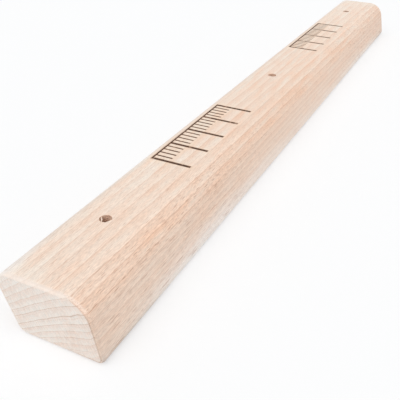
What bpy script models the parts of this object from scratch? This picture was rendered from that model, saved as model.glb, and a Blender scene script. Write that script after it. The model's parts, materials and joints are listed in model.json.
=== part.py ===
"""Campus board rung: one solid beech bar with an incut edge, a sloping edge and three screw holes.

Units are metres and +Z is up. The bar lies on its back, the face that is screwed to the board,
so the back face is at Z = 0 and the front face looks up. X runs along the bar, and the incut
edge is on the +Y side. The origin is under the middle of the bar.
"""

import math

import bmesh
import bpy
from mathutils import Matrix, Vector

MM = 0.001

# Section of the bar
RUNG_LENGTH = 600 * MM
RUNG_DEPTH = 35 * MM
FRONT_WIDTH = 54 * MM                  # between the two sides' planes, at the front face
INCUT_LEAN = math.radians(20)          # the incut side runs in under the front face
SLOPER_LEAN = math.radians(12)         # the sloping side runs out towards the back

# Rounded edges
INCUT_EDGE_RADIUS = 9 * MM
SLOPER_EDGE_RADIUS = 16 * MM
INCUT_BACK_RADIUS = 6 * MM
SLOPER_BACK_RADIUS = 3.5 * MM
END_ROUNDOVER = 2 * MM

# Screw holes, drilled straight through from the front
HOLE_DIAMETER = 6.5 * MM
HOLE_END_DISTANCE = 57 * MM            # hole centre to the nearer end of the bar
HOLE_SETBACK = 25.6 * MM               # hole centre to the incut side's plane, on the front face

# Fineness of the round forms
ARC_STEP = math.radians(6)
ROUNDOVER_SEGMENTS = 4
HOLE_SIDES = 48
SHARP_EDGE_ANGLE = math.radians(35)
END_RIM_ANGLE = math.radians(60)       # only the end rims are sharper than this before rounding

WELD_DISTANCE = 0.001 * MM
FLAT_ANGLE = math.radians(0.5)
CUT_MARGIN = 5 * MM                    # how far a drill runs past each face

BEECH_COLOUR = (0.83, 0.66, 0.52, 1.0)
BEECH_ROUGHNESS = 0.62


def clear_scene():
    """Remove every object that the file opened with."""
    for old in list(bpy.data.objects):
        bpy.data.objects.remove(old, do_unlink=True)


def new_collection(name):
    """Make a collection and link it to the scene."""
    collection = bpy.data.collections.new(name)
    bpy.context.scene.collection.children.link(collection)
    return collection


def move_to_collection(obj, collection):
    """Put an object in one collection and take it out of every other."""
    for holder in list(obj.users_collection):
        holder.objects.unlink(obj)
    collection.objects.link(obj)


def beech_material():
    """Pale, lightly sanded beech with no varnish."""
    material = bpy.data.materials.new("beech")
    material.use_nodes = True
    shader = material.node_tree.nodes["Principled BSDF"]
    shader.inputs["Base Color"].default_value = BEECH_COLOUR
    shader.inputs["Roughness"].default_value = BEECH_ROUGHNESS
    shader.inputs["Metallic"].default_value = 0.0
    return material


def sharp_corners():
    """The section before its edges are rounded, as (corner, radius) pairs in the Y, Z plane.

    They run anticlockwise as seen from +X, and the incut side's top corner is at Y = 0.
    """
    incut_front = Vector((0.0, RUNG_DEPTH))
    sloper_front = Vector((-FRONT_WIDTH, RUNG_DEPTH))
    incut_back = Vector((-RUNG_DEPTH * math.tan(INCUT_LEAN), 0.0))
    sloper_back = Vector((-FRONT_WIDTH - RUNG_DEPTH * math.tan(SLOPER_LEAN), 0.0))
    return [
        (incut_front, INCUT_EDGE_RADIUS),
        (sloper_front, SLOPER_EDGE_RADIUS),
        (sloper_back, SLOPER_BACK_RADIUS),
        (incut_back, INCUT_BACK_RADIUS),
    ]


def rounded_corner(before, corner, after, radius):
    """Points of the arc that rounds a corner, tangent to the lines on both sides of it."""
    to_before = (before - corner).normalized()
    to_after = (after - corner).normalized()
    opening = to_before.angle(to_after)
    turn = math.pi - opening
    centre = corner + (to_before + to_after).normalized() * radius / math.sin(opening / 2)
    start = corner + to_before * radius / math.tan(opening / 2) - centre
    steps = math.ceil(turn / ARC_STEP)
    points = []
    for step in range(steps + 1):
        points.append(centre + Matrix.Rotation(turn * step / steps, 2) @ start)
    return points


def section_outline():
    """The rounded section, with its width centred on Y = 0, and the Y of the incut front corner."""
    corners = sharp_corners()
    outline = []
    for index, (corner, radius) in enumerate(corners):
        before = corners[index - 1][0]
        after = corners[(index + 1) % len(corners)][0]
        outline += rounded_corner(before, corner, after, radius)
    widest = [point.x for point in outline]
    middle = (max(widest) + min(widest)) / 2
    centred = [Vector((point.x - middle, point.y)) for point in outline]
    return centred, -middle


def extrude_section(outline, collection):
    """Make the bar's blank: the section as a flat outline, extruded along X and capped."""
    curve = bpy.data.curves.new("rung_section", "CURVE")
    curve.dimensions = "2D"
    curve.fill_mode = "BOTH"
    curve.extrude = RUNG_LENGTH / 2
    spline = curve.splines.new("POLY")
    spline.points.add(len(outline) - 1)
    for spot, point in zip(spline.points, outline):
        spot.co = (point.x, point.y, 0.0, 1.0)
    spline.use_cyclic_u = True

    # The outline's own X, Y and Z become the bar's Y, Z and X.
    drawing = bpy.data.objects.new("rung_section", curve)
    collection.objects.link(drawing)
    drawing.matrix_world = Matrix(((0, 0, 1, 0), (1, 0, 0, 0), (0, 1, 0, 0), (0, 0, 0, 1)))
    bpy.context.view_layer.update()
    evaluated = drawing.evaluated_get(bpy.context.evaluated_depsgraph_get())
    mesh = bpy.data.meshes.new_from_object(evaluated)
    mesh.name = "rung"
    mesh.transform(drawing.matrix_world)
    bpy.data.objects.remove(drawing, do_unlink=True)

    # The loose caps are welded on, and each becomes one flat face for the roundover to follow.
    solid = bmesh.new()
    solid.from_mesh(mesh)
    bmesh.ops.remove_doubles(solid, verts=solid.verts, dist=WELD_DISTANCE)
    bmesh.ops.dissolve_limit(
        solid, angle_limit=FLAT_ANGLE, verts=solid.verts, edges=solid.edges
    )
    bmesh.ops.recalc_face_normals(solid, faces=solid.faces)
    solid.to_mesh(mesh)
    solid.free()

    rung = bpy.data.objects.new("rung", mesh)
    collection.objects.link(rung)
    return rung


def round_ends(rung):
    """Ease both end rims all the way round, as a router with a bearing bit does."""
    bevel = rung.modifiers.new("end roundover", "BEVEL")
    bevel.width = END_ROUNDOVER
    bevel.segments = ROUNDOVER_SEGMENTS
    bevel.limit_method = "ANGLE"
    bevel.angle_limit = END_RIM_ANGLE


def drill_holes(rung, incut_corner_y, cutters):
    """Drill the row of screw holes: one near each end and one in the middle."""
    end_hole_x = RUNG_LENGTH / 2 - HOLE_END_DISTANCE
    for hole_x in (-end_hole_x, 0.0, end_hole_x):
        bpy.ops.mesh.primitive_cylinder_add(
            vertices=HOLE_SIDES,
            radius=HOLE_DIAMETER / 2,
            depth=RUNG_DEPTH + 2 * CUT_MARGIN,
            location=(hole_x, incut_corner_y - HOLE_SETBACK, RUNG_DEPTH / 2),
        )
        drill = bpy.context.object
        drill.name = "drill"
        drill.hide_render = True
        drill.display_type = "WIRE"
        move_to_collection(drill, cutters)

    holes = rung.modifiers.new("screw holes", "BOOLEAN")
    holes.operation = "DIFFERENCE"
    holes.solver = "EXACT"
    holes.operand_type = "COLLECTION"
    holes.collection = cutters


def build():
    """Build the rung."""
    clear_scene()
    parts = new_collection("campus_board_rung")
    cutters = new_collection("drills")

    outline, incut_corner_y = section_outline()
    rung = extrude_section(outline, parts)
    round_ends(rung)
    drill_holes(rung, incut_corner_y, cutters)

    rung.data.materials.append(beech_material())
    rung.data.shade_smooth()
    rung.data.set_sharp_from_angle(angle=SHARP_EDGE_ANGLE)


build()
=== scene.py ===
import json
import math

import bmesh
import bpy
from mathutils import Euler, Matrix, Vector
from mathutils.noise import fractal

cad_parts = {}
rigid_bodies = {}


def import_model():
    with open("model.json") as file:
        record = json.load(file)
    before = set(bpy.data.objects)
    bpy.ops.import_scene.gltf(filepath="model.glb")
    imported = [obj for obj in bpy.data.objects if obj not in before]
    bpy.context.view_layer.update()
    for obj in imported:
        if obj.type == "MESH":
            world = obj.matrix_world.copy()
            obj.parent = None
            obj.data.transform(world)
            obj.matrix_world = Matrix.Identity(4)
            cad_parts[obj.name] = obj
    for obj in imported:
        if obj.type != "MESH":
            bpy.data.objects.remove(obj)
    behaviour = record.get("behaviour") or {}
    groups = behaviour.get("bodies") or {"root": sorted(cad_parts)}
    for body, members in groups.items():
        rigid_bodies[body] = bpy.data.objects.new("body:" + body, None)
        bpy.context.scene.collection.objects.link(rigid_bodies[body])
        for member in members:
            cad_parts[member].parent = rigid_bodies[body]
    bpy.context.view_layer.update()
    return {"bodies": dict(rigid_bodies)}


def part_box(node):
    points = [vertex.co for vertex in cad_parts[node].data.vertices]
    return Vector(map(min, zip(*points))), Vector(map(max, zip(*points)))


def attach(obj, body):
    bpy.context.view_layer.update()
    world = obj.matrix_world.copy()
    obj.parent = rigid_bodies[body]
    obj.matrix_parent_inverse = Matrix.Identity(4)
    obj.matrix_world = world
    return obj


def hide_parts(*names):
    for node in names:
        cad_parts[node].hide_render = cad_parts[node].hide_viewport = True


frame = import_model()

# The looks of a campus board rung: one raw beech bar, with drilled screw holes and a burnt-in
# scale in the two places where the photographed bar carries its marks.
# Lengths are in millimetres until a mesh is made, and +X runs along the bar.

MM = 0.001
BAR_LOW, BAR_HIGH = (Vector(corner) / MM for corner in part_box("rung"))
BAR_LENGTH = BAR_HIGH.x - BAR_LOW.x
BAR_DEPTH = BAR_HIGH.z - BAR_LOW.z

# The bar's section, as the CAD has it
FRONT_WIDTH = 54.0
INCUT_LEAN = math.radians(20)
SLOPER_LEAN = math.radians(12)
INCUT_EDGE_RADIUS = 9.0
SLOPER_EDGE_RADIUS = 16.0
INCUT_BACK_RADIUS = 6.0
SLOPER_BACK_RADIUS = 3.5
END_ROUNDOVER = 2.0
SKIN = 0.01                      # how far the wood's surface stays inside the CAD's
FLAT = 0.999                     # faces that look this straight up or down are flat ones

# Screw holes
HOLE_RADIUS = 3.25
HOLE_END_DISTANCE = 57.0
HOLE_SETBACK = 25.6
RIM_EASING = 0.3
HOLE_CELLS = 12                  # grid cells along each side of the square round a hole
HOLE_PATCH = 8.0                 # half of that square's side
MOUTH_RINGS = (0.7, 0.45, 0.2, 0.0)  # rings between the rim and that square, by share of the way
MOUTH_DEPTH = 1.2                # the drill tears the wall unevenly down to here
MOUTH_UNEVENNESS = 0.3
MOUTH_TEARS = 2.5                # roughly how many tears there are round the wall
MOUTH_FRACTAL = (1.0, 2.0, 3)    # the fractal noise's own settings

# Fibres torn loose at each hole's mouth, as (start angle, end angle, bow, width) in degrees and
# millimetres
TORN_FIBRES = (
    ((80, 174, 0.35, 0.75), (-70, -156, -0.5, 0.7)),
    ((150, 215, -0.2, 0.5),),
    ((-30, 42, -0.2, 0.6),),
)
FIBRE_STEPS = 8
FIBRE_ROOT = 0.3                 # how far its ends reach into the wood
FIBRE_END_WIDTH = 0.25           # half its width at the ends, as a share of its full width
FIBRE_DROP = 0.25                # how far below the front face its ends lie
FIBRE_ARCH = 0.5                 # how much of that drop its middle makes up
FIBRE_THICKNESS = 0.3

# Fineness of the mesh
ARC_STEP = math.radians(3)
ROUNDOVER_STEPS = 8
FLAT_STEP = 4.0
LENGTH_STEP = 8.0
WALL_STEPS = 14
RIM_STEPS = 3
SHARP_ANGLE = math.radians(30)
DECIMALS = 4                     # grid lines that agree to these are one line
SLACK = 0.001                    # and places this close are one place

# Slots of the bar's materials
OUTSIDE = 0
WALL = 1

# The burnt-in scale: one long line with a comb of ticks
SCALE_CENTRES = (-127.2, 129.0)
SCALE_HALF = 47.5
SCALE_TOP_SETBACK = 12.05        # the long line's outer edge, from the incut side's plane
SCALE_LINE = 1.1
TICK_PITCH = 4.7
TICK_GROUP = 5                   # every fifth tick, counted from the middle, is a long one
TICK_HALF_WIDTH = 0.55
LONG_TICK_HALF_WIDTH = 1.05
TICK_LENGTH = 12.0
LONG_TICK_LENGTH = 26.8
BURN_DEPTH = 0.35
BURN_WALL = 0.2


def section_corners():
    """The section's sharp corners and radii, in the Y, Z plane, with the incut corner at Y = 0."""
    incut_back = -BAR_DEPTH * math.tan(INCUT_LEAN)
    sloper_back = -FRONT_WIDTH - BAR_DEPTH * math.tan(SLOPER_LEAN)
    return [
        (Vector((0.0, BAR_DEPTH)), INCUT_EDGE_RADIUS),
        (Vector((-FRONT_WIDTH, BAR_DEPTH)), SLOPER_EDGE_RADIUS),
        (Vector((sloper_back, 0.0)), SLOPER_BACK_RADIUS),
        (Vector((incut_back, 0.0)), INCUT_BACK_RADIUS),
    ]


def corner_arc(before, corner, after, radius):
    """(point, outward direction) pairs along the arc that rounds one corner."""
    to_before = (before - corner).normalized()
    to_after = (after - corner).normalized()
    opening = to_before.angle(to_after)
    turn = math.pi - opening
    centre = corner + (to_before + to_after).normalized() * radius / math.sin(opening / 2)
    start = (corner + to_before * radius / math.tan(opening / 2) - centre).normalized()
    steps = math.ceil(turn / ARC_STEP)
    pairs = []
    for step in range(steps + 1):
        outward = Matrix.Rotation(turn * step / steps, 2) @ start
        pairs.append((centre + outward * radius, outward))
    return pairs


def evenly(start, end, step):
    """Values strictly between start and end, no further apart than step."""
    count = max(1, math.ceil(abs(end - start) / step))
    return [start + (end - start) * index / count for index in range(1, count)]


def filled(stops, step):
    """The stops in rising order, with more between them wherever they lie too far apart."""
    stops = sorted(set(round(stop, DECIMALS) for stop in stops))
    values = [stops[0]]
    for stop in stops[1:]:
        values += evenly(values[-1], stop, step)
        values.append(stop)
    return values


def hole_stops(centre):
    """Grid lines across the square round a hole."""
    return [centre + HOLE_PATCH * (2 * index / HOLE_CELLS - 1) for index in range(HOLE_CELLS + 1)]


def section_arcs():
    """The rounded corners, each as (point, outward direction) pairs."""
    corners = section_corners()
    arcs = []
    for index, (corner, radius) in enumerate(corners):
        before = corners[index - 1][0]
        after = corners[(index + 1) % len(corners)][0]
        arcs.append(corner_arc(before, corner, after, radius))
    return arcs


ARCS = section_arcs()
REACHES = [pair[0].x for arc in ARCS for pair in arc]

# Where things lie once the section is centred: INCUT_Y is where the incut side's plane meets the
# front face, and SLOPER_Y where the sloping side's plane meets the back.
INCUT_Y = -(min(REACHES) + max(REACHES)) / 2
SLOPER_Y = -(FRONT_WIDTH - INCUT_Y + BAR_DEPTH * math.tan(SLOPER_LEAN))
HOLE_Y = INCUT_Y - HOLE_SETBACK
END_HOLE_X = BAR_LENGTH / 2 - HOLE_END_DISTANCE
HOLES_X = (-END_HOLE_X, 0.0, END_HOLE_X)
SCALE_TOP_Y = INCUT_Y - SCALE_TOP_SETBACK


def ticks():
    """(offset from the scale's middle, half width, length) of each tick."""
    count = int(SCALE_HALF / TICK_PITCH)
    marks = []
    for index in range(-count, count + 1):
        is_long = index % TICK_GROUP == 0
        half = LONG_TICK_HALF_WIDTH if is_long else TICK_HALF_WIDTH
        marks.append((index * TICK_PITCH, half, LONG_TICK_LENGTH if is_long else TICK_LENGTH))
    return marks


def burn_boxes():
    """The scale's strokes as (low x, high x, low y, high y) about one scale's middle."""
    boxes = [(-SCALE_HALF, SCALE_HALF, SCALE_TOP_Y - SCALE_LINE, SCALE_TOP_Y)]
    for offset, half, length in ticks():
        boxes.append((offset - half, offset + half, SCALE_TOP_Y - length, SCALE_TOP_Y))
    return boxes


BURN_BOXES = burn_boxes()


def burn_depth(x, y):
    """How deep the burnt-in scale is sunk at a point of the front face."""
    deepest = 0.0
    for centre in SCALE_CENTRES:
        if abs(x - centre) > SCALE_HALF + BURN_WALL:
            continue
        for low_x, high_x, low_y, high_y in BURN_BOXES:
            inside = min(x - centre - low_x, high_x - x + centre, y - low_y, high_y - y)
            deepest = max(deepest, min(max(inside / BURN_WALL, 0.0), 1.0) * BURN_DEPTH)
    return deepest


def stroke_stops(low, high):
    """Grid lines at both edges of a stroke and at the foot of each of its walls."""
    return [low, low + BURN_WALL, high - BURN_WALL, high]


def section_ring():
    """(point, outward direction) pairs round the whole section, centred on Y = 0."""
    flat_stops = hole_stops(HOLE_Y) + [SCALE_TOP_Y - BURN_WALL, SCALE_TOP_Y]
    for low_y in sorted(set(round(box[2], DECIMALS) for box in BURN_BOXES)):
        flat_stops += [low_y, low_y + BURN_WALL]
    shift = Vector((INCUT_Y, 0.0))
    ring = []
    for index, arc in enumerate(ARCS):
        ring += [(point + shift, outward) for point, outward in arc]
        start = arc[-1][0] + shift
        end = ARCS[(index + 1) % len(ARCS)][0][0] + shift
        outward = arc[-1][1]
        if abs(outward.y) > FLAT:
            low, high = min(start.x, end.x), max(start.x, end.x)
            along = filled([low, high] + [y for y in flat_stops if low < y < high], FLAT_STEP)
            shares = [(y - start.x) / (end.x - start.x) for y in along[1:-1]]
        else:
            shares = evenly(0.0, 1.0, FLAT_STEP / (end - start).length)
        ring += [(start.lerp(end, share), outward) for share in sorted(shares)]
    return ring


def length_stations():
    """(x, inset) of every ring of the mesh, from one end face to the other."""
    half = BAR_LENGTH / 2
    straight = half - END_ROUNDOVER
    stops = [-straight, straight]
    for centre in HOLES_X:
        stops += hole_stops(centre)
    for centre in SCALE_CENTRES:
        for box in BURN_BOXES:
            stops += stroke_stops(centre + box[0], centre + box[1])
    stations = [(x, SKIN) for x in filled(stops, LENGTH_STEP)]
    for step in range(1, ROUNDOVER_STEPS + 1):
        angle = math.pi / 2 * step / ROUNDOVER_STEPS
        x = straight + END_ROUNDOVER * math.sin(angle)
        inset = END_ROUNDOVER * (1 - math.cos(angle)) + SKIN
        stations.append((x, inset))
        stations.insert(0, (-x, inset))
    return stations


def in_patch(x, y):
    """Whether the middle of a grid cell lies in the square round a hole."""
    return abs(y - HOLE_Y) < HOLE_PATCH and any(abs(x - centre) < HOLE_PATCH for centre in HOLES_X)


def square_loop(grid, columns, rows):
    """The grid's vertices round a hole's square, in order, starting at its low corner."""
    loop = [grid[columns[0]][row] for row in rows]
    loop += [grid[column][rows[-1]] for column in columns[1:]]
    loop += [grid[columns[-1]][row] for row in reversed(rows[:-1])]
    loop += [grid[column][rows[0]] for column in reversed(columns[1:-1])]
    return loop


def bridge(mesh, first, second, material=OUTSIDE):
    """Quads between two closed loops of vertices."""
    for index in range(len(first)):
        after = (index + 1) % len(first)
        face = mesh.faces.new((first[index], first[after], second[after], second[index]))
        face.material_index = material


def ring_of(mesh, loop, centre, radius, z):
    """A circle of vertices, each in line with a vertex of the loop, uneven near the front."""
    circle = []
    for vertex in loop:
        away = Vector((vertex.co.x / MM - centre.x, vertex.co.y / MM - centre.y)).normalized()
        tear_spot = Vector((away.x * MOUTH_TEARS, away.y * MOUTH_TEARS, centre.x))
        tear = fractal(tear_spot, *MOUTH_FRACTAL)
        share = max(0.0, 1 - (BAR_DEPTH - z) / MOUTH_DEPTH)
        place = centre + away * (radius + tear * MOUTH_UNEVENNESS * share)
        circle.append(mesh.verts.new(Vector((place.x, place.y, z)) * MM))
    return circle


def hole_mouth(mesh, loop, centre, z, inward):
    """Faces from a square of the grid in to the eased rim of a hole; returns the rim's foot."""
    outer = loop
    for share in MOUTH_RINGS:
        ring = []
        for vertex in loop:
            spot = Vector((vertex.co.x, vertex.co.y)) / MM
            away = (spot - centre).normalized()
            place = (centre + away * (HOLE_RADIUS + RIM_EASING)).lerp(spot, share)
            ring.append(mesh.verts.new(Vector((place.x, place.y, z)) * MM))
        bridge(mesh, outer, ring)
        outer = ring
    for step in range(1, RIM_STEPS + 1):
        angle = math.pi / 2 * step / RIM_STEPS
        radius = HOLE_RADIUS + RIM_EASING * (1 - math.sin(angle))
        depth = RIM_EASING * (1 - math.cos(angle))
        ring = ring_of(mesh, loop, centre, radius, z + inward * depth)
        bridge(mesh, outer, ring, WALL if step > 1 else OUTSIDE)
        outer = ring
    return outer


def torn_fibre(mesh, centre, start_angle, end_angle, bow, width):
    """A thin strip of wood that bridges part of a hole's mouth, thickest in the middle."""
    reach = HOLE_RADIUS + FIBRE_ROOT
    ends = [math.radians(angle) for angle in (start_angle, end_angle)]
    start, end = (Vector((math.cos(angle), math.sin(angle))) * reach for angle in ends)
    inward = -(start + end).normalized()
    before = None
    for step in range(FIBRE_STEPS + 1):
        share = step / FIBRE_STEPS
        swell = 4 * share * (1 - share)  # 0 at both ends and 1 in the middle
        middle = centre + start.lerp(end, share) + inward * bow * swell
        half = inward * width * (FIBRE_END_WIDTH + (0.5 - FIBRE_END_WIDTH) * swell)
        top = BAR_DEPTH - FIBRE_DROP * (1 - FIBRE_ARCH * swell)
        corners = ((-1, top), (1, top), (1, top - FIBRE_THICKNESS), (-1, top - FIBRE_THICKNESS))
        loop = []
        for side, z in corners:
            spot = middle + half * side
            loop.append(mesh.verts.new(Vector((spot.x, spot.y, z)) * MM))
        if before:
            bridge(mesh, before, loop)
        else:
            mesh.faces.new(loop)
        before = loop
    mesh.faces.new(reversed(before))


def skin_vertices(mesh, stations, ring):
    """A grid of vertices: a list for each station, with a vertex for each point of the section."""
    grid = []
    for x, inset in stations:
        row = []
        for point, outward in ring:
            spot = point - outward * inset
            sunk = burn_depth(x, spot.x) if outward.y > FLAT else 0.0
            row.append(mesh.verts.new(Vector((x, spot.x, spot.y - sunk)) * MM))
        grid.append(row)
    return grid


def skin_faces(mesh, grid, stations, ring):
    """Quads between the grid's vertices, but none in the squares round the holes."""
    for column in range(len(stations) - 1):
        middle_x = (stations[column][0] + stations[column + 1][0]) / 2
        for index in range(len(ring)):
            after = (index + 1) % len(ring)
            middle_y = (ring[index][0].x + ring[after][0].x) / 2
            flat = abs(ring[index][1].y) > FLAT and abs(ring[after][1].y) > FLAT
            if flat and in_patch(middle_x, middle_y):
                continue
            mesh.faces.new((
                grid[column][index], grid[column][after],
                grid[column + 1][after], grid[column + 1][index],
            ))


def drill_hole(mesh, grid, stations, ring, centre):
    """A screw hole from the front to the back, let into the squares that were left open."""
    reach = HOLE_PATCH + SLACK
    columns = [index for index, pair in enumerate(stations) if abs(pair[0] - centre.x) < reach]
    feet = []
    for z, inward in ((BAR_DEPTH, -1), (0.0, 1)):
        rows = [
            index for index, (point, outward) in enumerate(ring)
            if outward.y * -inward > FLAT and abs(point.x - centre.y) < reach
        ]
        rows.sort(key=lambda index: ring[index][0].x)
        loop = square_loop(grid, columns, rows)
        feet.append(hole_mouth(mesh, loop, centre, z, inward))
    top, bottom = feet
    above = top
    for step in range(1, WALL_STEPS):
        z = BAR_DEPTH - RIM_EASING - (BAR_DEPTH - 2 * RIM_EASING) * step / WALL_STEPS
        below = ring_of(mesh, top, centre, HOLE_RADIUS, z)
        bridge(mesh, above, below, WALL)
        above = below
    bridge(mesh, above, bottom, WALL)


def build_bar():
    """The bar as one closed mesh: a grid round and along it, with the holes let in."""
    mesh = bmesh.new()
    ring = section_ring()
    stations = length_stations()
    grid = skin_vertices(mesh, stations, ring)
    skin_faces(mesh, grid, stations, ring)
    caps = [mesh.faces.new(reversed(grid[0])), mesh.faces.new(grid[-1])]
    centres = [Vector((centre_x, HOLE_Y)) for centre_x in HOLES_X]
    for centre in centres:
        drill_hole(mesh, grid, stations, ring, centre)
    for centre, fibres in zip(centres, TORN_FIBRES):
        for start_angle, end_angle, bow, width in fibres:
            torn_fibre(mesh, centre, start_angle, end_angle, bow, width)

    bmesh.ops.recalc_face_normals(mesh, faces=mesh.faces)
    for face in mesh.faces:
        face.smooth = face not in caps
    data = bpy.data.meshes.new("rung_wood")
    mesh.to_mesh(data)
    mesh.free()
    data.set_sharp_from_angle(angle=SHARP_ANGLE)
    bar = bpy.data.objects.new("rung_wood", data)
    bpy.context.scene.collection.objects.link(bar)
    return bar


class Signal:
    """A number that varies over a surface. Its arithmetic adds the shader nodes it needs."""

    def __init__(self, socket):
        self.socket = socket

    def __add__(self, other):
        return combine("ADD", self, other)

    def __sub__(self, other):
        return combine("SUBTRACT", self, other)

    def __rsub__(self, other):
        return combine("SUBTRACT", other, self)

    def __mul__(self, other):
        return combine("MULTIPLY", self, other)

    def __truediv__(self, other):
        return combine("MULTIPLY", self, 1 / other)

    __radd__ = __add__


def put(target, value):
    """Set a socket to a plain value, or link a signal to it."""
    if isinstance(value, Signal):
        target.id_data.links.new(value.socket, target)
    else:
        target.default_value = value


def tree_of(*values):
    """The node tree that the first signal among the values belongs to."""
    return next(value.socket.id_data for value in values if isinstance(value, Signal))


def combine(operation, *values, clamp=False):
    """One step of arithmetic on signals and plain numbers."""
    node = tree_of(*values).nodes.new("ShaderNodeMath")
    node.operation = operation
    node.use_clamp = clamp
    for target, value in zip(node.inputs, values):
        put(target, value)
    return Signal(node.outputs[0])


def clamped(value):
    """The value, held between 0 and 1."""
    return combine("ADD", value, 0.0, clamp=True)


def least(first, *others):
    """The lowest of the values."""
    for other in others:
        first = combine("MINIMUM", first, other)
    return first


def most(first, *others):
    """The highest of the values."""
    for other in others:
        first = combine("MAXIMUM", first, other)
    return first


def vector(x, y, z):
    """A place for a texture, from its three coordinates."""
    node = tree_of(x, y, z).nodes.new("ShaderNodeCombineXYZ")
    for target, value in zip(node.inputs, (x, y, z)):
        put(target, value)
    return Signal(node.outputs[0])


def stretched(spot, sizes):
    """The spot's X, Y and Z, each divided by a size."""
    return vector(*(value / size for value, size in zip(spot, sizes)))


def noise(place, detail=2.0, rough=0.5):
    """Smooth noise from about -0.5 to 0.5, with bumps one unit of the place apart."""
    node = tree_of(place).nodes.new("ShaderNodeTexNoise")
    node.inputs["Scale"].default_value = 1.0
    node.inputs["Detail"].default_value = detail
    node.inputs["Roughness"].default_value = rough
    put(node.inputs["Vector"], place)
    return Signal(node.outputs["Fac"]) - 0.5


def cells(place):
    """(distance to the nearest of many scattered points, a random number of that point's)."""
    node = tree_of(place).nodes.new("ShaderNodeTexVoronoi")
    node.inputs["Scale"].default_value = 1.0
    put(node.inputs["Vector"], place)
    split = node.id_data.nodes.new("ShaderNodeSeparateColor")
    node.id_data.links.new(node.outputs["Color"], split.inputs[0])
    return Signal(node.outputs["Distance"]), Signal(split.outputs[0])


def chance(value):
    """A number from 0 to 1 that is the same wherever the value is."""
    node = tree_of(value).nodes.new("ShaderNodeTexWhiteNoise")
    node.noise_dimensions = "1D"
    put(node.inputs["W"], value)
    return Signal(node.outputs["Value"])


def fade(value, span):
    """Goes smoothly from 0, where the value is the span's first number, to 1 at its second."""
    node = tree_of(value).nodes.new("ShaderNodeMapRange")
    node.interpolation_type = "SMOOTHSTEP"
    for target, number in zip(node.inputs, (value, *span, 0.0, 1.0)):
        put(target, number)
    return Signal(node.outputs[0])


def band(value, stops):
    """Rises from 0 to 1 between the first two stops and falls again between the last two."""
    return fade(value, stops[:2]) * fade(value, stops[:1:-1])


def partly(share, lowest):
    """Brings a share that goes from 0 to 1 up to one that goes from the lowest to 1."""
    return share * (1.0 - lowest) + lowest


def curve(value, stops):
    """Straight stretches through (position, height) stops."""
    node = tree_of(value).nodes.new("ShaderNodeValToRGB")
    ramp = node.color_ramp
    while len(ramp.elements) < len(stops):
        ramp.elements.new(0.5)
    for element, (position, height) in zip(ramp.elements, stops):
        element.position = position
        element.color = (height, height, height, 1.0)
    put(node.inputs[0], value)
    return Signal(node.outputs[0])


def blend(share, first, second):
    """A colour between two others."""
    node = tree_of(share).nodes.new("ShaderNodeMix")
    node.data_type = "RGBA"
    put(node.inputs[0], share)
    put(node.inputs[6], first)
    put(node.inputs[7], second)
    return Signal(node.outputs[2])


def shaded(colour, share):
    """The colour made lighter or darker by a share, which is 0 for no change."""
    node = tree_of(colour).nodes.new("ShaderNodeVectorMath")
    node.operation = "SCALE"
    put(node.inputs[0], colour)
    put(node.inputs["Scale"], share + 1.0)
    return Signal(node.outputs[0])


def surface_spot(tree):
    """Object X, Y and Z of the surface in millimetres, and of the direction that it faces."""
    node = tree.nodes.new("ShaderNodeTexCoord")
    place = tree.nodes.new("ShaderNodeSeparateXYZ")
    facing = tree.nodes.new("ShaderNodeSeparateXYZ")
    tree.links.new(node.outputs["Object"], place.inputs[0])
    tree.links.new(node.outputs["Normal"], facing.inputs[0])
    spot = [Signal(output) / MM for output in place.outputs]
    return spot, [Signal(output) for output in facing.outputs]


def dress(tree, colour, roughness, height, relief):
    """Give a material its colour, its roughness and a relief that is so many millimetres high."""
    surface = tree.nodes["Principled BSDF"]
    put(surface.inputs["Base Color"], colour)
    put(surface.inputs["Roughness"], roughness)
    surface.inputs["Specular IOR Level"].default_value = SPECULAR
    bump = tree.nodes.new("ShaderNodeBump")
    bump.inputs["Distance"].default_value = relief * MM
    put(bump.inputs["Height"], height)
    tree.links.new(bump.outputs[0], surface.inputs["Normal"])


def srgb(red, green, blue):
    """A colour as a shader wants it, from 0 to 255 values."""
    def linear(value):
        value /= 255
        return value / 12.92 if value <= 0.04045 else ((value + 0.055) / 1.055) ** 2.4
    return (linear(red), linear(green), linear(blue), 1.0)


# Beech colours
CREAM = srgb(241, 227, 213)
ROSE = srgb(243, 205, 179)
SAPWOOD = srgb(246, 235, 227)
RING_LINE = srgb(206, 162, 134)
RAY_FLECK = srgb(186, 137, 109)
INCUT_SHADE_GREY = srgb(222, 214, 206)
PAINTED_LIGHT_WHITE = srgb(245, 240, 235)
POLISHED = srgb(243, 226, 213)
END_CREAM = srgb(237, 229, 221)
END_ROSE = srgb(231, 210, 196)
END_LINE = srgb(203, 178, 160)
DRILLED = srgb(236, 198, 172)
TORN_AND_SHADED_WALL = srgb(158, 118, 92)
CHARRED = srgb(54, 35, 23)
SCORCHED = srgb(146, 99, 66)
WARMED = srgb(250, 222, 188)

# Growth rings as they cross the end face: the place they are measured from, the direction they
# grow in, how they bend and fan out, and how far apart they are
RING_Y = 2.23
RING_Z = 17.0
RING_DIRECTION = math.radians(118)
OUT_Y = math.cos(RING_DIRECTION)
OUT_Z = math.sin(RING_DIRECTION)
RING_BEND = 0.003
RING_FAN = 0.0074
RING_PITCH = 3.74
RING_START = 20.3
SQUEEZE_MIDDLE = 2.6             # inwards of here the rings lie closer, and outwards wider
SQUEEZE_REACH = 20.5             # from there to where they do so most
RING_HOOK = 1.9                  # how far the rings turn up beside the sloping side
HOOK_REACH = (24.2, 29.3)
RING_SLOPE = 0.011               # how far the rings climb for each millimetre along the bar
DRIFT = 1.3                      # how far the rings wander in long waves
DRIFT_SIZE = (190.0, 60.0, 60.0)
WAVER = 0.75                     # and in short ones
WAVER_SIZE = (24.0, 2.5, 2.5)

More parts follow.
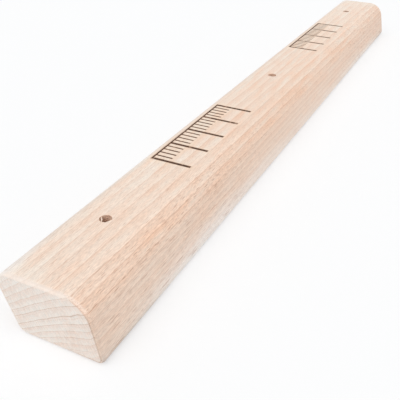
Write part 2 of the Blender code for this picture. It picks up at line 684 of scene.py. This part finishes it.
# Nudges that bring the rings to their places on the end face, in rings. The spans are fade()'s:
# nothing at the first number and in full at the second.
EARLY_RINGS = (5.8, 4.2)
EARLY_NUDGE = 0.12
INNER_HEIGHTS = (35.0, 24.0)
INNER_DIAGONAL = (50.0, 36.0)
INNER_REACH = (30.0, 20.0)
INNER_NUDGE = 0.15
INNER_EARLY_NUDGE = 0.3
SLOPER_NUDGE = 0.2
SLOPER_NUDGE_Y = (8.0, -12.0)
SLOPER_NUDGE_HEIGHTS = (32.0, 24.0)
SLOPER_NUDGE_DISTANCES = (1.5, 8.0)  # in from the sloping side's plane
INCUT_NUDGE = 0.18
INCUT_NUDGE_Y = (4.0, 16.0)
INCUT_NUDGE_HEIGHTS = (24.0, 16.0)

# How pink the wood is from the first ring to the last, as (share of the way, pinkness)
RING_COUNT = 15.0
RINGS_BEFORE = 2.0               # rings that come before the one that is counted as 0
WARMTH = [(0.07, 0.6), (0.2, 0.74), (0.4, 0.86), (0.5, 1.0), (0.6, 0.7), (0.73, 0.5),
          (0.9, 0.28)]

# How dark the line is that each ring starts from, as (share of the way, darkness)
BOLDNESS = [(number / RING_COUNT, darkness) for number, darkness in (
    (1, 0.3), (2, 0.35), (3, 0.4), (4, 0.65), (5, 0.45), (6, 0.75), (7, 1.0), (8, 0.8), (9, 0.75),
    (10, 0.45), (11, 0.4), (12, 0.35))]

# How much late wood, dark line and fresh wood there is, from each ring's start to its stop
LATE_WOOD = [(0.0, 0.75), (0.06, 0.15), (0.2, 0.0), (0.5, 0.45), (0.9, 1.0)]
DARK_LINES = [(0.0, 1.0), (0.05, 0.0), (0.64, 0.0), (0.69, 0.3), (0.74, 0.0), (0.92, 0.0),
              (1.0, 1.0)]
FRESH_WOOD = [(0.02, 0.0), (0.08, 1.0), (0.2, 0.7), (0.4, 0.0)]

# Rings are stronger and weaker in patches along the bar, and some are stronger all along
PATCH_LENGTH = 50.0
PATCH_STRIDE = 3.7               # sets each ring's patches off from the next one's
PATCH_TURN = 0.5                 # and turns them a little within the ring
LATE_STRENGTH = 0.55
LATE_CHANCE = 0.5
LATE_PATCHES = 2.2
LINE_PATCHES = 1.2

# Sizes of the wood's figure, in millimetres along the bar, across it and up
STAIN_SIZE = (45.0, 7.0, 7.0)
BLOTCH_SIZE = (20.0, 3.4, 3.4)
FIBRE_SIZE = (3.4, 0.5, 0.5)
GRAIN_SIZE = (1.2, 0.42, 0.42)
STREAK_SIZE = (30.0, 1.3, 1.3)
THREAD_SIZE = (5.0, 0.42, 0.42)
STRAND_SIZE = (18.0, 1.5, 1.5)
DASH_SIZE = (15.0, 0.95, 0.95)
PORE_SIZE = (1.0, 0.6, 0.6)
TEAR_SIZE = (1.3, 1.7, 0.7)

# Sizes of the rays, along the bar, round the heart and out from it
RAY_SIZE = (7.5, 0.45, 0.6)
SMALL_RAY_SIZE = (4.5, 0.4, 0.5)

# Sizes of what the end grain shows, round the heart, out from it and along the bar
END_THREAD_SIZE = (0.7, 3.4, 15.0)
END_BLOT_SIZE = (1.8, 1.3, 15.0)

# Places on the bar, as spans for fade(). Heights are above the back face, and depths are in from
# the nearer end.
SLOPE_SIDE_Y = (-8.0, -15.0)
LEANING_OUT = (-0.3, -0.8)       # by the Y of the direction that the surface faces
LEANING_IN = (0.05, 0.4)
FRONT_HEIGHTS = (24.0, 31.0)
FACE_HEIGHTS = (32.2, 33.2)
LOW_HEIGHTS = (29.0, 25.0)
SIDE_HEIGHTS = (29.0, 24.0)
SHOULDER_HEIGHTS = (26.0, 30.0)
EDGE_HEIGHTS = (22.0, 30.0)
FAR_DEPTHS = (110.0, 250.0)
FAR_SIDE_DEPTHS = (100.0, 220.0)
BY_END_DEPTHS = (80.0, 20.0)

# How the pink is blotched, and where it is calmer, drier or stronger
WARMTH_PINK = 0.7
BASE_PINK = 0.08
LATE_PINK = 0.28
FAR_PINK = 0.14
FAR_SIDE_PINK = 0.03
BLOTCHES = 0.88
CALM_LOW = 0.35
CALM_END = 0.12
CALM_END_DEPTHS = (130.0, 60.0)
CALM_FAR_SIDE = 0.25
DRY_DEPTHS = (16.0, 4.0)
DRY_HEIGHTS = (31.0, 34.0)
DRY_FRONT = 0.16
MOIST_SIDE = 0.02
FAINT_FAR_LINES = 0.4

# The pale sapwood of the first rings
SAP_RINGS = (2.1, -1.4)
SAP_STAIN = 2.0
# The sapwood is real, but its fading out towards each end is painted shade
SAP_DEPTHS = (10.0, 95.0)
SAP_FAR_LOSS = 0.4

# Lighter and darker wood, as shares of its colour. Far from the near end the front is painted
# darker, as the shade where the light falls off along the bar
FAR_SHADE = 0.015
FAR_FRONT_SHADE = -0.035
FRESH_SHADE = 0.02
FRESH_SLOPE_SHADE = 0.015
FRONT_SHADE = -0.004
FAR_SIDE_SHADE = -0.004
BASE_SHADE = -0.004

# Fine fibres, which blur in the distance
CRISP_DEPTHS = (230.0, 120.0)
CRISP_FAR = 0.55
THREADS = (0.08, 0.26)
STRANDS = (0.0, 0.2)
STRAND_DEPTHS = (190.0, 90.0)

# Rays: each is a lens round a scattered point, as a span of distances from it. They look broad
# where the surface runs across the rings, and vanish where it follows them.
RAY_LENS = (0.34, 0.2)
FINE_LENS = (0.34, 0.18)
RAY_CHANCE = (0.2, 0.9)
DASH_CHANCE = (0.3, 0.9)
FOLLOWING = (0.95, 0.4)
FOLLOWING_SHOWN = 0.15
RAY_HEIGHTS = (20.0, 28.0)
LOW_RAYS = 0.3
RAY_FAR_DEPTHS = (130.0, 260.0)
RAY_FAR_LOSS = 0.5
DASH_DEPTHS = (220.0, 80.0)
DASH_FAR = 0.3

# The cut ends. The end grain reaches over the roundover beside the front face, but stops at the
# corner beside the sloping side: the second pair is what that side takes off the first.
END_GRAIN_DEPTHS = (1.7, 0.25)
END_GRAIN_CUT = (1.65, 0.245)

# Edges by the ends: bands of depths, and how dark or pale they are. The pale rims are painted
# highlights and sheen; the dark bands by the sloping side are painted shade, all but the thin
# line where its roundover starts
CORNER_LINE = (0.0, 0.03, 0.1, 0.3)
CORNER_LINE_DARK = 0.12
CORNER_LINE_LOW = 0.1
ROUNDOVER_SHADE_BAND = (0.02, 0.2, 0.8, 2.4)
ROUNDOVER_SHADE = 0.09
LOW_END_SHADE_DEPTHS = (16.0, 2.0)
LOW_END_SHADE = 0.03
RIM_HIGHLIGHT_DEPTHS = (0.7, 0.15)
RIM_HIGHLIGHT = 0.07
RIM_HIGHLIGHT_STREAKS = 0.2
RIM_HIGHLIGHT_STAINS = 0.12
BEHIND_HIGHLIGHT = (0.1, 0.5, 0.8, 1.6)
BEHIND_HIGHLIGHT_SHADE = 0.03
SHOULDER_PALE = 0.012
SHOULDER_HIGHLIGHT_BAND = (0.05, 0.3, 0.9, 1.8)
SHOULDER_HIGHLIGHT = 0.22
INCUT_SHEEN_DEPTHS = (3.0, 1.0)
INCUT_SHEEN = 0.6

# The pale strip on the front face beside each end
STRIP_WIDTH = 1.9
STRIP_STREAKS = 2.0
STRIP_SHARPNESS = 0.9
STRIP_POLISH = 0.55

# The foot of the sloping side: painted shade by each end, where it meets the floor, as (heights,
# darkness), with a little more by the corner, and painted floor-bounce light further along
FOOT_SHADES = (((10.0, 3.0), 0.03), ((4.8, 1.6), 0.3))
FOOT_HEIGHTS = (15.0, 4.0)
FOOT_DEPTHS = (42.0, 18.0)
FOOT_DARK = 0.03
BOUNCE_HEIGHTS = (9.0, 3.0)
BOUNCE_DEPTHS = (180.0, 90.0)
BOUNCE_SHARE = 0.5
BOUNCE_END_LOSS = 0.3

# The incut edge is greyer than the front, as painted shade, and nearly white by the ends, as
# painted sheen
INCUT_SHADE_Y = (19.5, 23.5)
INCUT_SHADE = 0.4
CORNER_SHEEN_Y = (17.0, 22.5)
CORNER_SHEEN_DEPTHS = (38.0, 4.0)
CORNER_SHEEN = 0.6

# How much of each mark shows along the grain
SAP_TINT = 0.9
LINE_TINT = 0.55
STRAND_TINT = 0.15
THREAD_TINT = 0.4
SMALL_RAY_TINT = 0.38
RAY_TINT = 0.75
DASH_TINT = 0.58
FIBRE_SHADE = 0.65
FIBRE_END_SHADE = 0.1
FIBRE_END_DEPTHS = (70.0, 15.0)
FIBRE_HEIGHTS = (22.0, 28.0)
FIBRE_LOW = 0.82
GRAIN_SHADE = 0.14
STREAK_SHADE = 0.07
LATE_SHADE = 0.045
ALONG_SHADE = 0.018

# How much of each mark shows in the end grain
END_PINK = 0.11
END_LATE = 0.55
END_STAINS = 1.2
END_PINKER = 0.15
END_PINKER_LOW = 0.12
END_PINKER_Y = (6.0, -20.0)
END_PINKER_HEIGHTS = (18.0, 8.0)
END_LINE_SHARE = 1.1
END_LINE_BLOTS = 2.2
END_LINE_LOSS = 0.35
END_LINE_RADII = (0.0, 14.0)
PORE_SHADE = 0.36
END_THREAD_SHADE = 0.36
END_BLOT_SHADE = 0.14
END_RAYS = 0.3

# Relief and sheen
SPECULAR = 0.4
RELIEF = 0.06
FIBRE_RELIEF = 0.8
RAY_RELIEF = 0.5
LINE_RELIEF = 0.2


class Beech:
    """One block of raw beech. Its rings, rays and fibres run right through it."""

    def __init__(self, tree):
        self.spot, self.facing = surface_spot(tree)
        self.depth = BAR_LENGTH / 2 - combine("ABSOLUTE", self.spot[0])
        self.mark_places()
        self.lay_rings()
        self.fill_rings()
        self.tint()
        self.lay_fibres()
        self.lay_rays()
        self.finish_ends()
        self.finish_edges()

    def mottled(self, sizes, detail=1.0, rough=0.5):
        """Noise through the whole block, with bumps of these sizes."""
        return noise(stretched(self.spot, sizes), detail, rough)

    def mark_places(self):
        """Where on the bar a spot lies, in shares that go from 0 to 1."""
        z = self.spot[2]
        self.slope_side = fade(self.spot[1], SLOPE_SIDE_Y)
        self.front = fade(z, FRONT_HEIGHTS)
        self.face = fade(z, FACE_HEIGHTS)
        self.low = fade(z, LOW_HEIGHTS)
        self.side = fade(z, SIDE_HEIGHTS)
        self.far = fade(self.depth, FAR_DEPTHS)
        self.far_side = fade(self.depth, FAR_SIDE_DEPTHS) * self.side
        self.by_end = fade(self.depth, BY_END_DEPTHS)
        self.leans_out = fade(self.facing[1], LEANING_OUT)

    def lay_rings(self):
        """Work out how far out from the heart, how far round it and in which ring a spot is."""
        x, y, z = self.spot
        across = RING_Y - y
        up = z - RING_Z + x * RING_SLOPE
        self.outward = across * OUT_Y + up * OUT_Z
        self.around = up * OUT_Y - across * OUT_Z
        bend = self.around * self.around * (RING_BEND / 2)
        fan = self.around * self.outward * RING_FAN
        hook = fade(across, HOOK_REACH) * RING_HOOK
        drift = self.mottled(DRIFT_SIZE) * DRIFT
        waver = self.mottled(WAVER_SIZE, detail=2.0) * WAVER
        radius = self.outward + bend + fan - hook + drift + waver
        squeeze = combine("COSINE", (radius - SQUEEZE_MIDDLE) * (math.pi / 2 / SQUEEZE_REACH))
        rings = (radius + squeeze + RING_START) / RING_PITCH

        early = fade(rings, EARLY_RINGS)
        inside = fade(z, INNER_HEIGHTS) * fade(z - y, INNER_DIAGONAL) * fade(across, INNER_REACH)
        rings = rings + inside * (early * INNER_EARLY_NUDGE + INNER_NUDGE) + early * EARLY_NUDGE
        off_slope = y - z * math.tan(SLOPER_LEAN) - SLOPER_Y
        by_slope = fade(y, SLOPER_NUDGE_Y) * fade(z, SLOPER_NUDGE_HEIGHTS)
        by_slope = by_slope * fade(off_slope, SLOPER_NUDGE_DISTANCES)
        by_incut = fade(y, INCUT_NUDGE_Y) * fade(z, INCUT_NUDGE_HEIGHTS)
        self.rings = rings - by_slope * SLOPER_NUDGE + by_incut * INCUT_NUDGE

    def fill_rings(self):
        """Each ring starts pale and turns pinker, up to a thin dark line where it stops."""
        share = combine("FRACT", self.rings)
        number = combine("FLOOR", self.rings)
        along = self.spot[0] / PATCH_LENGTH
        patches = noise(vector(along, number * PATCH_STRIDE, self.rings * PATCH_TURN))
        strength = LATE_STRENGTH + chance(number) * LATE_CHANCE + patches * LATE_PATCHES
        self.late = curve(share, LATE_WOOD) * clamped(strength)
        self.fresh = curve(share, FRESH_WOOD)
        nearest = combine("ROUND", self.rings)
        bold = curve((nearest + RINGS_BEFORE) / RING_COUNT, BOLDNESS)
        bold = bold * (patches * LINE_PATCHES + 1.0) * (1.0 - self.far_side * FAINT_FAR_LINES)
        self.line = curve(share, DARK_LINES) * bold

    def tint(self):
        """How pink the wood is, how much of it is sapwood, and how light it is."""
        self.stain = self.mottled(STAIN_SIZE, detail=2.0)
        warm = curve((self.rings + RINGS_BEFORE) / RING_COUNT, WARMTH)
        blotch = self.late * LATE_PINK + self.stain + self.mottled(BLOTCH_SIZE)
        calm = BLOTCHES - self.low * CALM_LOW - fade(self.depth, CALM_END_DEPTHS) * CALM_END
        blotch = blotch * calm * (1.0 - self.far_side * CALM_FAR_SIDE)
        drier = fade(self.spot[2], DRY_HEIGHTS) * DRY_FRONT - MOIST_SIDE
        drier = fade(self.depth, DRY_DEPTHS) * drier
        further = self.far_side * FAR_SIDE_PINK + self.far * self.front * FAR_PINK
        self.pink = clamped(warm * WARMTH_PINK + blotch + further - drier - BASE_PINK)

        young = fade(self.rings + self.stain * SAP_STAIN, SAP_RINGS)
        # Sapwood is real; its fading out by the ends is painted shade
        self.sap = young * fade(self.depth, SAP_DEPTHS) * (1.0 - self.far * SAP_FAR_LOSS)
        fresh = self.fresh * (self.slope_side * FRESH_SLOPE_SHADE + FRESH_SHADE)
        # Painted shade: the far front darker, where the light falls off along the bar
        distant = self.far * (self.front * FAR_FRONT_SHADE + FAR_SHADE)
        steady = self.front * FRONT_SHADE + self.far_side * FAR_SIDE_SHADE + BASE_SHADE
        self.shade = distant + fresh + steady

    def lay_fibres(self):
        """Thin streaks, threads and strands along the bar."""
        self.fibre = self.mottled(FIBRE_SIZE, detail=3.0, rough=0.7)
        self.grain = self.mottled(GRAIN_SIZE)
        self.streak = self.mottled(STREAK_SIZE, detail=2.0)
        self.crisp = partly(fade(self.depth, CRISP_DEPTHS), CRISP_FAR)
        self.thread = fade(self.mottled(THREAD_SIZE), THREADS) * self.crisp
        strands = fade(self.mottled(STRAND_SIZE), STRANDS)
        self.strand = strands * self.side * fade(self.depth, STRAND_DEPTHS)

    def lay_rays(self):
        """The rays that stand on edge across the rings, and the dashes low on the side."""
        place = (self.spot[0], self.around, self.outward)
        broad, broad_chance = cells(stretched(place, RAY_SIZE))
        fine, fine_chance = cells(stretched(place, SMALL_RAY_SIZE))
        dashes, dash_chance = cells(stretched(self.spot, DASH_SIZE))
        follows = combine("ABSOLUTE", self.facing[2] * OUT_Z - self.facing[1] * OUT_Y)
        shown = partly(fade(follows, FOLLOWING), FOLLOWING_SHOWN)
        shown = shown * partly(fade(self.spot[2], RAY_HEIGHTS), LOW_RAYS)
        self.ray = fade(broad, RAY_LENS) * fade(broad_chance, RAY_CHANCE) * shown
        self.ray = self.ray * (1.0 - fade(self.depth, RAY_FAR_DEPTHS) * RAY_FAR_LOSS)
        self.small_ray = fade(fine, FINE_LENS) * fine_chance * shown * self.crisp
        self.dash = fade(dashes, FINE_LENS) * fade(dash_chance, DASH_CHANCE) * self.low
        self.dash = self.dash * partly(fade(self.depth, DASH_DEPTHS), DASH_FAR)

    def finish_ends(self):
        """End grain on the cut ends, the thin dark and pale lines round them, and their painted
        light and shade.
        """
        other_side = 1.0 - self.slope_side
        reach = [depth - self.slope_side * cut
                 for depth, cut in zip(END_GRAIN_DEPTHS, END_GRAIN_CUT)]
        self.end_grain = fade(self.depth, reach)
        # Painted sheen: faces that lean towards the incut side turn whiter right by the ends
        self.incut_end_sheen = fade(self.facing[1], LEANING_IN) * fade(self.depth, INCUT_SHEEN_DEPTHS) * INCUT_SHEEN

        line = band(self.depth, CORNER_LINE) * (self.low * CORNER_LINE_LOW + CORNER_LINE_DARK)
        # Painted shade on the end roundover beside the lower sloping side
        shaded_roundover = band(self.depth, ROUNDOVER_SHADE_BAND) * self.low * ROUNDOVER_SHADE
        # Painted shade on the lower sloping side by the ends
        shade_by_ends = fade(self.depth, LOW_END_SHADE_DEPTHS) * self.low * LOW_END_SHADE
        dark = (line + shaded_roundover + self.foot() + shade_by_ends) * self.slope_side * (1.0 - self.end_grain)
        # Painted highlight on the front's rims by the ends, with a little painted shade just
        # behind it
        uneven = RIM_HIGHLIGHT + self.streak * RIM_HIGHLIGHT_STREAKS + self.stain * RIM_HIGHLIGHT_STAINS
        pale = self.face * fade(self.depth, RIM_HIGHLIGHT_DEPTHS) * uneven
        pale = pale - band(self.depth, BEHIND_HIGHLIGHT) * BEHIND_HIGHLIGHT_SHADE
        self.shoulder = fade(self.spot[2], SHOULDER_HEIGHTS) * self.slope_side
        self.rim = pale * other_side - dark + self.shoulder * SHOULDER_PALE

        width = self.streak * STRIP_STREAKS + STRIP_WIDTH
        strip = clamped((width - self.depth) * STRIP_SHARPNESS)
        self.strip = self.face * strip * other_side

    def foot(self):
        """Painted shade at the foot of the sloping side, where it meets the floor, by each end."""
        z = self.spot[2]
        tall, short = (fade(z, heights) * dark for heights, dark in FOOT_SHADES)
        by_end = (tall + short) * self.by_end
        corner = fade(z, FOOT_HEIGHTS) * fade(self.depth, FOOT_DEPTHS) * FOOT_DARK
        return (by_end + corner) * self.leans_out

    def finish_edges(self):
        """The incut edge's painted shade and sheen, and painted highlights and floor-bounce light.
        """
        y, z = self.spot[1:]
        edge = fade(z, EDGE_HEIGHTS)
        # Painted shade greys the incut edge
        self.shaded_incut_edge = fade(y, INCUT_SHADE_Y) * edge * INCUT_SHADE
        # Painted sheen whitens the incut edge by the ends
        sheen_by_corner = fade(y, CORNER_SHEEN_Y) * fade(self.depth, CORNER_SHEEN_DEPTHS) * edge * CORNER_SHEEN
        # Painted highlight on the shoulder's rim by each end
        highlit_shoulder = self.shoulder * band(self.depth, SHOULDER_HIGHLIGHT_BAND) * SHOULDER_HIGHLIGHT
        # Painted floor-bounce light whitens the low sloping side along the middle of the bar
        painted_bounce = fade(z, BOUNCE_HEIGHTS) * self.leans_out * (BOUNCE_SHARE - self.by_end * BOUNCE_END_LOSS)
        painted_bounce = painted_bounce * fade(self.depth, BOUNCE_DEPTHS)
        self.painted_light = most(sheen_by_corner, highlit_shoulder, painted_bounce)

    def along(self):
        """The colour of the wood on faces along the grain."""
        wood = blend(self.pink, CREAM, ROSE)
        wood = blend(self.sap * SAP_TINT, wood, SAPWOOD)
        wood = blend(self.line * LINE_TINT, wood, RING_LINE)
        # Painted shade on the incut edge, then painted sheen, highlights and floor-bounce light
        wood = blend(self.shaded_incut_edge, wood, INCUT_SHADE_GREY)
        wood = blend(self.painted_light, wood, PAINTED_LIGHT_WHITE)
        wood = blend(self.strand * STRAND_TINT, wood, RING_LINE)
        rough = fade(self.depth, FIBRE_END_DEPTHS) * FIBRE_END_SHADE + FIBRE_SHADE
        rough = rough * self.crisp * partly(fade(self.spot[2], FIBRE_HEIGHTS), FIBRE_LOW)
        fine = self.fibre * rough + self.grain * GRAIN_SHADE + self.streak * STREAK_SHADE
        wood = shaded(wood, fine - self.late * LATE_SHADE + self.shade + ALONG_SHADE)
        wood = blend(self.thread * THREAD_TINT, wood, RAY_FLECK)
        wood = blend(self.small_ray * SMALL_RAY_TINT, wood, RAY_FLECK)
        return blend(most(self.ray * RAY_TINT, self.dash * DASH_TINT), wood, RAY_FLECK)

    def across(self):
        """The colour of end grain: greyer, speckled by the pores, with pale threads of ray."""
        x, y, z = self.spot
        place = (self.around, self.outward, x)
        pores = self.mottled(PORE_SIZE, detail=3.0, rough=0.65)
        threads = noise(stretched(place, END_THREAD_SIZE), detail=1.0)
        blots = noise(stretched(place, END_BLOT_SIZE))
        pinker = fade(z, END_PINKER_HEIGHTS) * END_PINKER_LOW + END_PINKER
        pinker = fade(y, END_PINKER_Y) * pinker
        stains = (self.stain + blots) * END_STAINS
        pink = clamped(self.late * END_LATE + stains + pinker + END_PINK)
        wood = blend(pink, END_CREAM, END_ROSE)
        faint = fade(self.outward, END_LINE_RADII) * END_LINE_LOSS
        bold = END_LINE_SHARE - faint + blots * END_LINE_BLOTS
        wood = blend(clamped(self.line * bold), wood, END_LINE)
        fine = pores * PORE_SHADE + threads * END_THREAD_SHADE + blots * END_BLOT_SHADE
        return blend(self.ray * END_RAYS, shaded(wood, fine), END_CREAM)

    def colour(self):
        """The colour anywhere on the block."""
        wood = blend(self.end_grain, self.along(), self.across())
        wood = blend(self.strip * STRIP_POLISH, wood, POLISHED)
        # Painted sheen whitens the incut faces by the ends, and the rims take their painted
        # highlights and shade
        return shaded(blend(self.incut_end_sheen, wood, PAINTED_LIGHT_WHITE), self.rim)

    def height(self):
        """The relief that the fibres, the rays and the rings' lines leave in the surface."""
        return self.fibre * FIBRE_RELIEF - self.ray * RAY_RELIEF - self.line * LINE_RELIEF


def scale_distance(x, y):
    """Distance outside the burnt-in scale's strokes, in millimetres, below 0 inside them."""
    shapes = []
    for centre in SCALE_CENTRES:
        along = x - centre
        reach = combine("ABSOLUTE", along) - SCALE_HALF
        above = y - SCALE_TOP_Y
        shapes.append(most(reach, above, (SCALE_TOP_Y - SCALE_LINE) - y))

        index = combine("ROUND", along / TICK_PITCH)
        group = index / TICK_GROUP
        off_group = combine("ABSOLUTE", group - combine("ROUND", group))
        is_long = combine("LESS_THAN", off_group, 0.5 / TICK_GROUP)
        half = is_long * (LONG_TICK_HALF_WIDTH - TICK_HALF_WIDTH) + TICK_HALF_WIDTH
        length = is_long * (LONG_TICK_LENGTH - TICK_LENGTH) + TICK_LENGTH
        beside = combine("ABSOLUTE", along - index * TICK_PITCH) - half
        shapes.append(most(beside, above, SCALE_TOP_Y - length - y, reach - TICK_PITCH / 2))
    return least(*shapes)


# The burnt strokes, as spans of the distance outside a stroke's edge: a charred core, a scorched
# edge and a warm glow round it. Sizes are along the bar and across it.
CORE = (0.12, -0.16)
HALO = (0.7, -0.05)
HALO_TINT = 0.5
GLOW = (3.5, 0.3)
GLOW_TINT = 0.2
RAGGED_SIZE = (1.1, 0.7, 1.0)
RAGGEDNESS = 0.25
TOUCH_SIZE = (9.0, 2.0, 1.0)
LIGHT_TOUCH = (0.06, 0.22)       # where the iron touched the wood only lightly
LIGHT_TOUCH_LOSS = 0.55
CHAR_SIZE = (6.0, 2.2, 1.0)
CHAR_SPREAD = 1.2
CHAR_MIDDLE = 0.2
BURN_REACH = 1.0                 # how far below the front face burnt wood may lie

# Roughness of the wood and of the marks in it
WOOD_ROUGHNESS = 0.56
FIBRE_ROUGHNESS = 0.2
END_ROUGHNESS = 0.12
CORE_ROUGHNESS = 0.2

# The holes' walls, with painted shade deeper down and painted shadow under the torn fibres
WALL_TINT = 0.75
WALL_LINES = 0.1
WALL_TEARS = 3.6
WALL_DARK = 0.1
DEEP_SHADE_HEIGHTS = (34.4, 31.6)
DEEP_SHADE = 0.25
WALL_ROUGHNESS = 0.7
TEAR_ROUGHNESS = 0.2
WALL_RELIEF = 0.25


def new_material(name):
    """An empty node material."""
    material = bpy.data.materials.new(name)
    material.use_nodes = True
    return material


def bar_material():
    """Beech with the scale burnt into its front face."""
    material = new_material("raw_beech")
    wood = Beech(material.node_tree)
    x, y, z = wood.spot
    flat_spot = (x, y, 0.0)
    on_front = combine("GREATER_THAN", z, BAR_DEPTH - BURN_REACH)
    edge = scale_distance(x, y) + noise(stretched(flat_spot, RAGGED_SIZE)) * RAGGEDNESS
    halo = fade(edge, HALO) * on_front
    glow = fade(edge, GLOW) * on_front
    core = fade(edge, CORE) * on_front
    light = fade(noise(stretched(flat_spot, TOUCH_SIZE), detail=1.0), LIGHT_TOUCH)
    paler = clamped(noise(stretched(flat_spot, CHAR_SIZE)) * CHAR_SPREAD + CHAR_MIDDLE)
    char = blend(paler, CHARRED, SCORCHED)
    colour = blend(glow * GLOW_TINT, wood.colour(), WARMED)
    colour = blend(halo * HALO_TINT, colour, SCORCHED)
    colour = blend(core * (1.0 - light * LIGHT_TOUCH_LOSS), colour, char)
    roughness = WOOD_ROUGHNESS + wood.fibre * FIBRE_ROUGHNESS + wood.end_grain * END_ROUGHNESS
    roughness = roughness + core * CORE_ROUGHNESS
    dress(material.node_tree, colour, roughness, wood.height(), RELIEF)
    return material


def drilled_material():
    """Hole walls: unfinished wood, browned a little, torn fibres, and painted shade deeper in."""
    material = new_material("drilled_beech")
    wood = Beech(material.node_tree)
    torn = wood.mottled(TEAR_SIZE, detail=3.0, rough=0.6)
    colour = blend(WALL_TINT + wood.line * WALL_LINES, wood.colour(), DRILLED)
    # The torn fibres' darker colour with their painted shadow, painted shade deeper in the hole,
    # and a little darkening all over the wall
    deep = fade(wood.spot[2], DEEP_SHADE_HEIGHTS)
    dark = clamped(torn * WALL_TEARS + deep * DEEP_SHADE + WALL_DARK)
    colour = blend(dark, colour, TORN_AND_SHADED_WALL)
    roughness = WALL_ROUGHNESS + torn * TEAR_ROUGHNESS
    dress(material.node_tree, colour, roughness, torn, WALL_RELIEF)
    return material


# Stage
WHITE = (1.0, 1.0, 1.0, 1.0)
FLOOR_SIZE = 8.0                 # in metres
FLOOR_DROP = 0.1                 # how far below the bar's back face it lies
FLOOR_COLOUR = (0.95, 0.96, 0.972, 1.0)
FLOOR_GLOW = 0.47                # how much of the floor's look is plain white
WORLD_LIGHT = 0.61
KEY_STRENGTH = 1.38
KEY_ANGLE = math.radians(80)
KEY_FROM = Vector((-0.42, -0.02, 0.9))
DIRECT_RAYS = ("Is Camera Ray", "Is Glossy Ray", "Is Transmission Ray")


def seen_directly(tree):
    """1 for rays that show a thing as it looks, from the camera or in a reflection."""
    rays = tree.nodes.new("ShaderNodeLightPath")
    return most(*(Signal(rays.outputs[name]) for name in DIRECT_RAYS))


def white_shader(tree, kind, strength=1.0):
    """The output of an emission or background node that is plain white."""
    node = tree.nodes.new(kind)
    node.inputs["Color"].default_value = WHITE
    node.inputs["Strength"].default_value = strength
    return node.outputs[0]


def mix_shaders(share, first, second, target):
    """Link a mix of two shaders to the target, with so much of the second one."""
    tree = tree_of(share)
    mix = tree.nodes.new("ShaderNodeMixShader")
    put(mix.inputs[0], share)
    tree.links.new(first, mix.inputs[1])
    tree.links.new(second, mix.inputs[2])
    tree.links.new(mix.outputs[0], target)


def floor():
    """A white table top that keeps only a faint shadow."""
    bpy.ops.mesh.primitive_plane_add(size=FLOOR_SIZE, location=(0.0, 0.0, -FLOOR_DROP * MM))
    plane = bpy.context.object
    plane.name = "floor"
    material = new_material("white_floor")
    tree = material.node_tree
    tree.nodes.remove(tree.nodes["Principled BSDF"])
    diffuse = tree.nodes.new("ShaderNodeBsdfDiffuse")
    diffuse.inputs["Color"].default_value = FLOOR_COLOUR
    glow = white_shader(tree, "ShaderNodeEmission")
    surface = tree.nodes["Material Output"].inputs["Surface"]
    mix_shaders(seen_directly(tree) * FLOOR_GLOW, diffuse.outputs[0], glow, surface)
    plane.data.materials.append(material)


def world():
    """Even white light from all round, which shows as plain white."""
    surround = bpy.data.worlds.new("studio")
    bpy.context.scene.world = surround
    surround.use_nodes = True
    tree = surround.node_tree
    tree.nodes.remove(tree.nodes["Background"])
    light = white_shader(tree, "ShaderNodeBackground", WORLD_LIGHT)
    plain = white_shader(tree, "ShaderNodeBackground")
    surface = tree.nodes["World Output"].inputs["Surface"]
    mix_shaders(seen_directly(tree), light, plain, surface)


def key_light():
    """A broad soft lamp, high over the near end."""
    lamp = bpy.data.lights.new("key", "SUN")
    lamp.energy = KEY_STRENGTH
    lamp.angle = KEY_ANGLE
    holder = bpy.data.objects.new("key", lamp)
    holder.rotation_euler = KEY_FROM.to_track_quat("Z", "Y").to_euler()
    bpy.context.scene.collection.objects.link(holder)


# Camera
CAMERA_PLACE = (-442.97, -144.42, 199.43)
CAMERA_TILT = math.radians(58.201)
CAMERA_ROLL = math.radians(-0.721)
CAMERA_HEADING = math.radians(-63.540)
CAMERA_LENS = 52.068
CAMERA_SENSOR = 36.0
CAMERA_NEAR = 10.0               # nothing nearer than this is drawn


def camera():
    """The photograph's own view, from over the near end."""
    data = bpy.data.cameras.new("photo_view")
    data.lens = CAMERA_LENS
    data.sensor_width = CAMERA_SENSOR
    data.clip_start = CAMERA_NEAR * MM
    holder = bpy.data.objects.new("photo_view", data)
    holder.location = Vector(CAMERA_PLACE) * MM
    holder.rotation_euler = Euler((CAMERA_TILT, CAMERA_ROLL, CAMERA_HEADING))
    bpy.context.scene.collection.objects.link(holder)
    bpy.context.scene.camera = holder


bar = build_bar()
bar.data.materials.append(bar_material())
bar.data.materials.append(drilled_material())
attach(bar, list(frame["bodies"])[0])
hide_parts("rung")

floor()
world()
key_light()
camera()
bpy.context.scene.view_settings.view_transform = "Standard"
